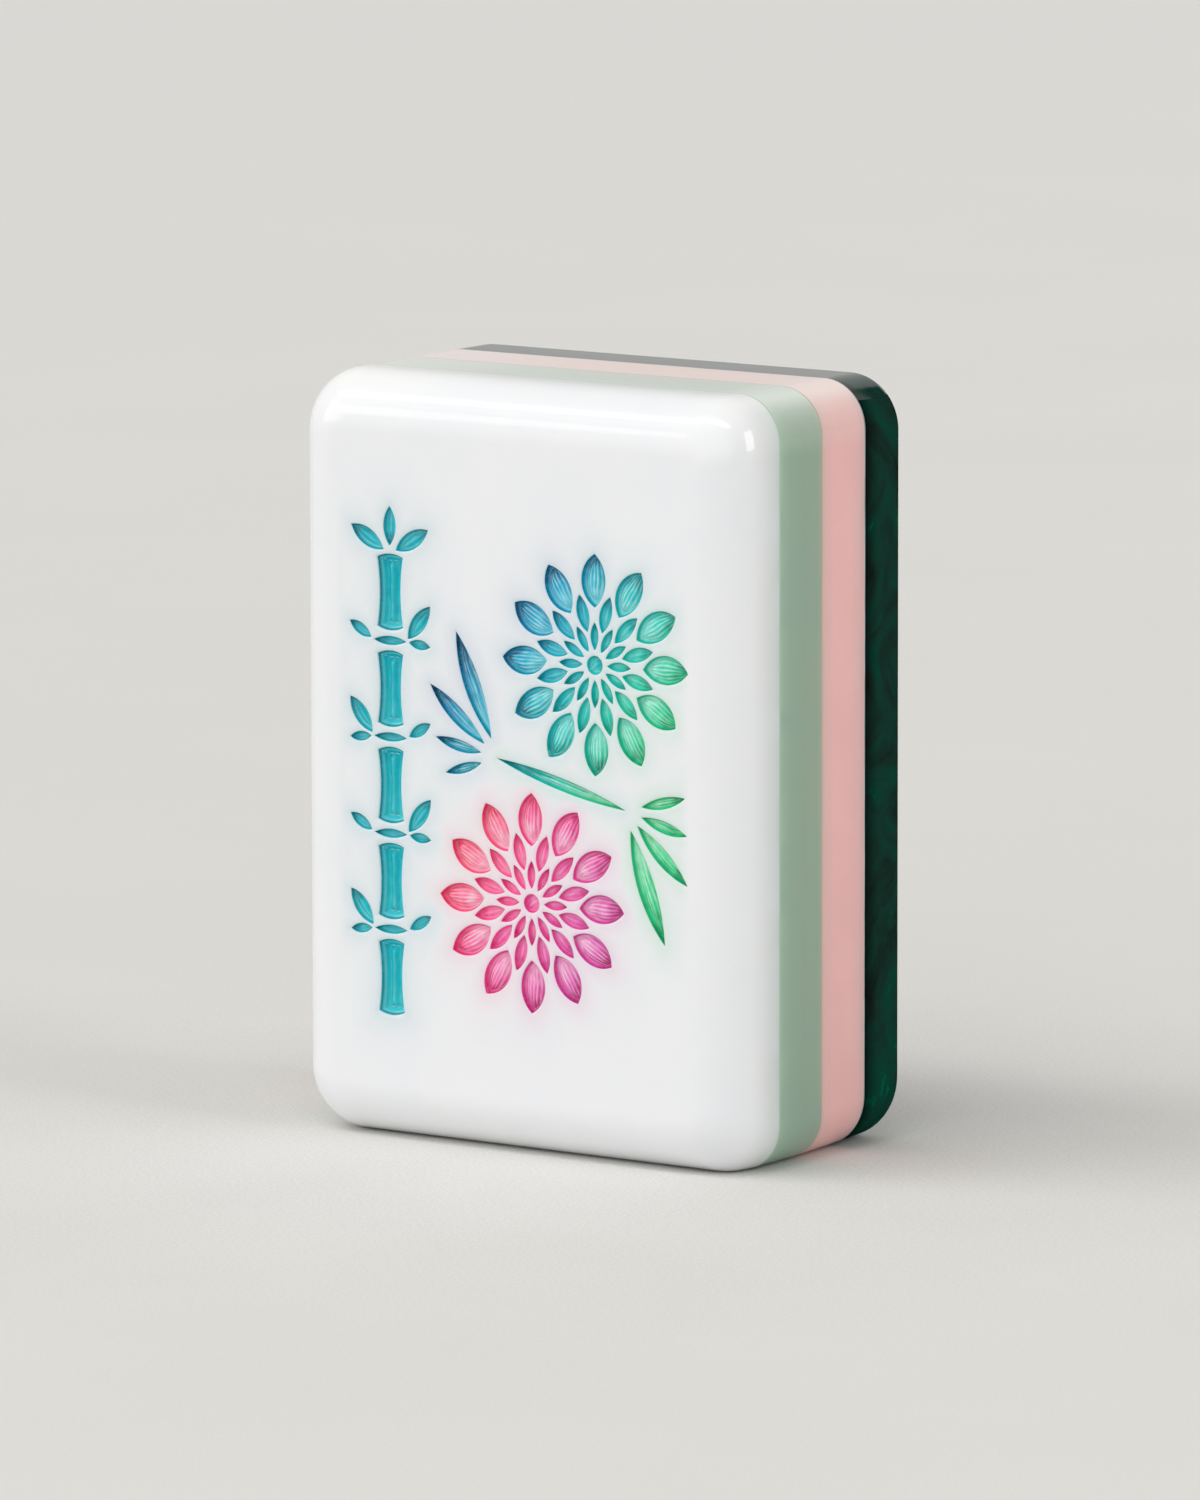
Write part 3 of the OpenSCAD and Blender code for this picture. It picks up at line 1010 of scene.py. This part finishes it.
# %% [markdown]
# ### The paint
# Paint lies in the carving as a film about a hundredth of a millimetre thick, and stands up as fine
# rays where the cutter left ridges. Each CAD node of paint is replaced by films that follow the carved
# floor, closed all round, with the colour kept on the film's own points.

# %% Films of paint
FILM_TOP = 0.016
FILM_BOTTOM = 0.004
FILM_SMOOTH = math.radians(60)


def paint_piece(node):
    """One object with a closed film for every figure of a CAD paint node."""
    places, polygons, colours = [], [], []
    for figure in figures[node]:
        flat, depth = figure["film"]
        numbers, used = grid_numbers(depth.shape, figure["tips"])
        top = len(places)
        bottom = top + len(used)
        places += grid_places(flat, depth - FILM_TOP - figure["raised"], used).tolist()
        places += grid_places(flat, depth - FILM_BOTTOM, used).tolist()
        colours += figure["colour"].reshape(-1, 3)[used].tolist() * 2
        for polygon in grid_polygons(numbers):
            polygons.append(tuple(top + n for n in polygon))
            polygons.append(tuple(bottom + n for n in polygon[::-1]))
        loop = list(dict.fromkeys(int(numbers[cell]) for cell, point, way in rim_loop(figure, "film")))
        for k in range(len(loop)):
            one, two = loop[k - 1], loop[k]
            polygons.append((top + two, top + one, bottom + one, bottom + two))
    data = bpy.data.meshes.new(node.replace("paint", "film"))
    data.from_pydata(places, [], polygons)
    paint = data.color_attributes.new("paint", "FLOAT_COLOR", "POINT")
    paint.data.foreach_set("color", [c for colour in colours for c in (*colour, 1)])
    obj = bpy.data.objects.new(data.name, data)
    bpy.context.scene.collection.objects.link(obj)
    edit(obj, "FACE")
    bpy.ops.mesh.select_all(action="SELECT")
    bpy.ops.mesh.normals_make_consistent(inside=False)
    leave_edit()
    bpy.ops.object.shade_smooth_by_angle(angle=FILM_SMOOTH)
    print(obj.name, "triangles:", triangles_of(data))
    return obj


films = {node: paint_piece(node) for node in sorted(figures)}

# %% [markdown]
# ## Acrylic
# All four plates are cast acrylic, tumbled and buffed to a deep gloss. Each colour isn't quite even:
# pigment settles in faint clouds a few millimetres wide, and light that enters one plate leaks into
# the next, so a plate greys or warms within half a millimetre of a joint. The top edge and the ends are
# painted paler, a painted glow for light soaking in from two and three sides: one ramp runs up the last
# millimetres and another across. The buffing leaves the gloss and the surface a little uneven.

# %% Colour along an axis
def ramp_along(add, parts, axis, stops):
    """A colour ramp along one axis of the tile. Its stops are millimetres."""
    first, last = stops[0][0], stops[-1][0]
    run = add(
        "MapRange", {"From Min": first * MM, "From Max": last * MM}, {"Value": parts.outputs[axis]}
    )
    return add("ValToRGB", None, {"Fac": run}, [((x - first) / (last - first), c) for x, c in stops])


# %% Milky acrylic
ACRYLIC_IOR = 1.49
CLOUD_SIZE = 3.2 * MM
BUFF_SIZE = 1.6 * MM
BUFF_DEPTH = 0.01 * MM
# Painted glow: shares of the pale colour up the top edge and across the tile, in millimetres.
TOP_PAINTED_GLOW = (
    (27, 0.0), (27.6, 0.0), (28.14, 0.12), (28.92, 0.3), (29.28, 0.48), (29.52, 0.74), (29.73, 0.96),
    (29.895, 1.0), (30, 1.0),
)
ACROSS_PAINTED_GLOW = (
    (-10, 1.0), (-9, 1.0), (-6, 0.75), (-2, 0.2), (2, 0.05), (6, 0.0), (7.6, 0.1), (8.6, 0.5),
    (9.5, 1.0), (10, 1.0),
)


def acrylic(name, stops, cloud, cloud_share, pale, top_glow_share, corner_glow_share, stain=None):
    """Milky acrylic with colour stops through it, faint clouds, and a painted glow on its top and
    corners.
    """
    material, add, place, shader = new_material(name)
    parts = add("SeparateXYZ", None, {0: place})
    ramp = ramp_along(add, parts, "Y", stops)
    drift = add("TexNoise", {"Scale": 1 / CLOUD_SIZE, "Detail": 3, "Distortion": 0.6}, {"Vector": place})
    cloudy = add("MapRange", {"From Min": 0.4, "From Max": 0.7, "To Max": cloud_share}, {"Value": drift})
    colour = add("Mix", {"data_type": "RGBA", 7: linear(cloud)}, {0: cloudy, 6: ramp})
    # Painted glow: the colour is mixed towards the pale one up the top edge and towards the ends.
    top_glow = ramp_along(add, parts, "Z", TOP_PAINTED_GLOW)
    corner_glow = ramp_along(add, parts, "X", ACROSS_PAINTED_GLOW)
    share = add("MapRange", {"To Min": top_glow_share, "To Max": corner_glow_share}, {"Value": corner_glow})
    painted_glow = add("Math", {"operation": "MULTIPLY"}, {0: top_glow, 1: share})
    colour = add("Mix", {"data_type": "RGBA", 7: linear(pale)}, {0: painted_glow, 6: colour.outputs[2]})
    if stain:
        stained = add("Attribute", {"attribute_name": stain})
        colour = add(
            "Mix", {"data_type": "RGBA", "blend_type": "MULTIPLY", 0: 1.0},
            {6: colour.outputs[2], 7: stained},
        )
    buff = add("TexNoise", {"Scale": 1 / BUFF_SIZE, "Detail": 1}, {"Vector": place})
    ripple = add("Bump", {"Strength": 0.3, "Distance": BUFF_DEPTH}, {"Height": buff})
    gloss = add("MapRange", {"To Min": 0.01, "To Max": 0.04}, {"Value": drift})
    set_up(
        shader, {"IOR": ACRYLIC_IOR},
        {"Base Color": colour.outputs[2], "Roughness": gloss, "Normal": ripple},
    )
    print(name)
    return material


# %% [markdown]
# The white is a milky, faintly cool acrylic, greying and greening over the last millimetre before the
# sage joint: the green is the sage seen through the white, and the grey is in part painted shade for
# the right-hand roll. It also carries the stain of the paint round each figure. The sage is a soft
# grey-green that warms towards the pink, and the pink is a clear blush that dulls at both of its joints.

# %% White, sage and pink acrylic
# The grey towards the sage joint is in part painted shade for the right-hand roll; the green is the sage
# seen through the white.
WHITE_STOPS_WITH_PAINTED_SHADE = (
    (-5.85, "#f0f1f4"), (-4.6, "#eff1f3"), (-4.0, "#e6e8e8"), (-3.6, "#dde2e0"), (-3.3, "#d5dedb"),
    (-3.08, "#c2d4ca"),
)
SAGE_STOPS = (
    (-3.02, "#abc5b2"), (-2.8, "#9fbba5"), (-2.3, "#96b09a"), (-1.4, "#93ab95"), (-0.5, "#97ab96"),
    (-0.16, "#a4b09a"),
)
PINK_STOPS = (
    (-0.10, "#d9b3ab"), (0.15, "#e9bcb7"), (0.8, "#f5bebb"), (1.8, "#f5bdba"), (2.4, "#e9bbb8"),
    (2.82, "#ceb0af"),
)

white_acrylic = acrylic(
    "milky white cast acrylic", WHITE_STOPS_WITH_PAINTED_SHADE, cloud="#e9ecf2", cloud_share=0.35,
    pale="#f7f8f7", top_glow_share=0.0, corner_glow_share=1.0, stain="stain",
)
sage_acrylic = acrylic(
    "sage cast acrylic", SAGE_STOPS, cloud="#8eaa9c", cloud_share=0.5,
    pale="#e6efe4", top_glow_share=0.55, corner_glow_share=1.0,
)
pink_acrylic = acrylic(
    "pink cast acrylic", PINK_STOPS, cloud="#ebb4b2", cloud_share=0.5,
    pale="#ffeee8", top_glow_share=0.56, corner_glow_share=0.95,
)

# %% [markdown]
# The emerald back is dark and translucent, with brighter green where the pigment swirls. Its right foot
# is brighter still: a painted glow there stands in for light coming through the rounded corner. In the
# photograph its right-hand side mirrors something dark and stays deep, while its top mirrors the tent. A
# dark card there would hide the tile in other views. So the side has the same acrylic without its
# mirror, and the two meet inside the black band on the corner, where no gloss shows.

# %% Emerald acrylic
SWIRL_SIZE = 3.6 * MM
SWIRL_STOPS = (
    (0.3, "#161c1a"), (0.42, "#182d26"), (0.55, "#173a31"), (0.66, "#0c4435"), (0.77, "#02765a"),
)
JOINT_STOPS = (
    (2.88, "#7c686a"), (3.0, "#bc9292"), (3.35, "#e0cfcf"), (3.8, "#ffffff"), (5.85, "#ffffff"),
)
# Place and strength of the painted glow at the right foot.
FOOT_RIGHT = (4 * MM, 9 * MM)
FOOT_HEIGHT = (5.5 * MM, 2.5 * MM)
FOOT_PAINTED_GLOW = 0.14


def emerald(name, specular):
    """Dark translucent acrylic with green swirls, a painted glow at its right foot, and dark at the
    joint.
    """
    material, add, place, shader = new_material(name)
    parts = add("SeparateXYZ", None, {0: place})
    depth = ramp_along(add, parts, "Y", JOINT_STOPS)
    swirl = add(
        "TexNoise",
        {"Scale": 1 / SWIRL_SIZE, "Detail": 5, "Roughness": 0.62, "Distortion": 1.6}, {"Vector": place},
    )
    # Painted glow: the swirl is lifted towards the right foot.
    right = add(
        "MapRange",
        {
            "interpolation_type": "SMOOTHSTEP",
            "From Min": FOOT_RIGHT[0], "From Max": FOOT_RIGHT[1], "To Max": FOOT_PAINTED_GLOW,
        },
        {"Value": parts.outputs["X"]},
    )
    foot = add(
        "MapRange",
        {"interpolation_type": "SMOOTHSTEP", "From Min": FOOT_HEIGHT[0], "From Max": FOOT_HEIGHT[1]},
        {"Value": parts.outputs["Z"], "To Max": right},
    )
    swirl_and_glow = add("Math", {"operation": "ADD"}, {0: swirl, 1: foot})
    body = add("ValToRGB", None, {"Fac": swirl_and_glow}, SWIRL_STOPS)
    colour = add("Mix", {"data_type": "RGBA", "blend_type": "MULTIPLY", 0: 1.0}, {6: body, 7: depth})
    set_up(
        shader,
        {"IOR": ACRYLIC_IOR, "Roughness": 0.04, "Specular IOR Level": specular},
        {"Base Color": colour.outputs[2]},
    )
    return material


# %% The emerald plate's two materials
SIDE_TURN = math.sin(math.radians(38))
SIDE_START = 8.4 * MM
BACK_TURN = 0.9

emerald_back.data.materials.append(emerald("dark emerald translucent acrylic", 0.5))
emerald_back.data.materials.append(emerald("dark emerald acrylic, duller side", 0.0))
on_side = 0
for polygon in emerald_back.data.polygons:
    turn = polygon.normal
    if polygon.center.x > SIDE_START and turn.z < SIDE_TURN and turn.y < BACK_TURN:
        polygon.material_index = 1
        on_side += 1
print("faces of the duller side:", on_side)

# %% [markdown]
# The cement shows as a hairline: pale green at the white joint, warm between sage and pink, and a cold
# blue-grey against the emerald. It is a clear resin, so it takes its tint from the plates beside it.

# %% Cement
CEMENT_RUN = 2.5 * MM


def cement(name, one, two):
    """Clear resin that shifts between two tints along the joint."""
    material, add, place, shader = new_material(name)
    run = add("TexNoise", {"Scale": 1 / CEMENT_RUN, "Detail": 3}, {"Vector": place})
    tint = add("ValToRGB", None, {"Fac": run}, [(0.4, one), (0.65, two)])
    set_up(shader, {"IOR": ACRYLIC_IOR, "Roughness": 0.12}, {"Base Color": tint})
    print(name)
    return material


face_cement = cement("clear cement, white joint", "#b4ccb9", "#aec6b4")
middle_cement = cement("clear cement, sage joint", "#c0b29e", "#b6af9a")
back_cement = cement("clear cement, emerald joint", "#8d98a0", "#c3cdd6")

# %% [markdown]
# ## Paint
# The paint is a lacquer with a strong colour and a soft gloss. Its colour comes from the "paint"
# attribute of each film, broken up by specks of thicker and thinner ink a few hundredths of a
# millimetre wide.

# %% Lacquers
SPECK_SIZE = 0.12 * MM
RIPPLE_DEPTH = 0.006 * MM


def lacquer(name, speck_colour, speck_share):
    """Lacquer with the film's own colours and fine specks of thinner ink."""
    material, add, place, shader = new_material(name)
    ink = add("Attribute", {"attribute_name": "paint"})
    specks = add("TexNoise", {"Scale": 1 / SPECK_SIZE, "Detail": 2}, {"Vector": place})
    thin = add(
        "MapRange", {"From Min": 0.45, "From Max": 0.75, "To Max": speck_share}, {"Value": specks}
    )
    colour = add("Mix", {"data_type": "RGBA", 7: linear(speck_colour)}, {0: thin, 6: ink})
    ripple = add("Bump", {"Strength": 0.25, "Distance": RIPPLE_DEPTH}, {"Height": specks})
    set_up(
        shader, {"IOR": 1.5, "Roughness": 0.12, "Specular IOR Level": 0.2},
        {"Base Color": colour.outputs[2], "Normal": ripple},
    )
    print(name)
    return material


teal_lacquer = lacquer("teal lacquer", "#12d2da", 0.4)
green_lacquer = lacquer("blue and green lacquer", "#30dcb4", 0.3)
blue_lacquer = lacquer("blue lacquer", "#10cfe4", 0.3)
pink_lacquer = lacquer("pink lacquer", "#ff7fae", 0.3)

# %% [markdown]
# ## Every piece takes the place of its CAD node
# The tile has one body, so every piece rides on it. Each piece hides the CAD node it stands for.

# %% Ride, replace and dress
dressed = [
    (white_block, "face_block", "white_acrylic", white_acrylic),
    (face_film, "face_bond", "clear_cement", face_cement),
    (sage_plate, "sage_layer", "sage_acrylic", sage_acrylic),
    (middle_film, "middle_bond", "clear_cement", middle_cement),
    (pink_plate, "pink_layer", "pink_acrylic", pink_acrylic),
    (back_film, "back_bond", "clear_cement", back_cement),
    (emerald_back, "back_layer", "emerald_acrylic", None),
]
dressed += [(films[node], node, slot, material) for node, slot, material in (
    ("cane_stick_paint", "teal_paint", teal_lacquer),
    ("cane_leaf_paint", "teal_paint", teal_lacquer),
    ("branch_paint", "green_paint", green_lacquer),
    ("upper_petal_paint", "blue_paint", blue_lacquer),
    ("upper_heart_paint", "blue_paint", blue_lacquer),
    ("lower_petal_paint", "pink_paint", pink_lacquer),
    ("lower_heart_paint", "pink_paint", pink_lacquer),
)]
for piece, node, slot, material in dressed:
    if material:
        piece.data.materials.append(material)
    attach(piece, "root")
    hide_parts(node)
print("pieces in place of CAD nodes:", len(dressed))
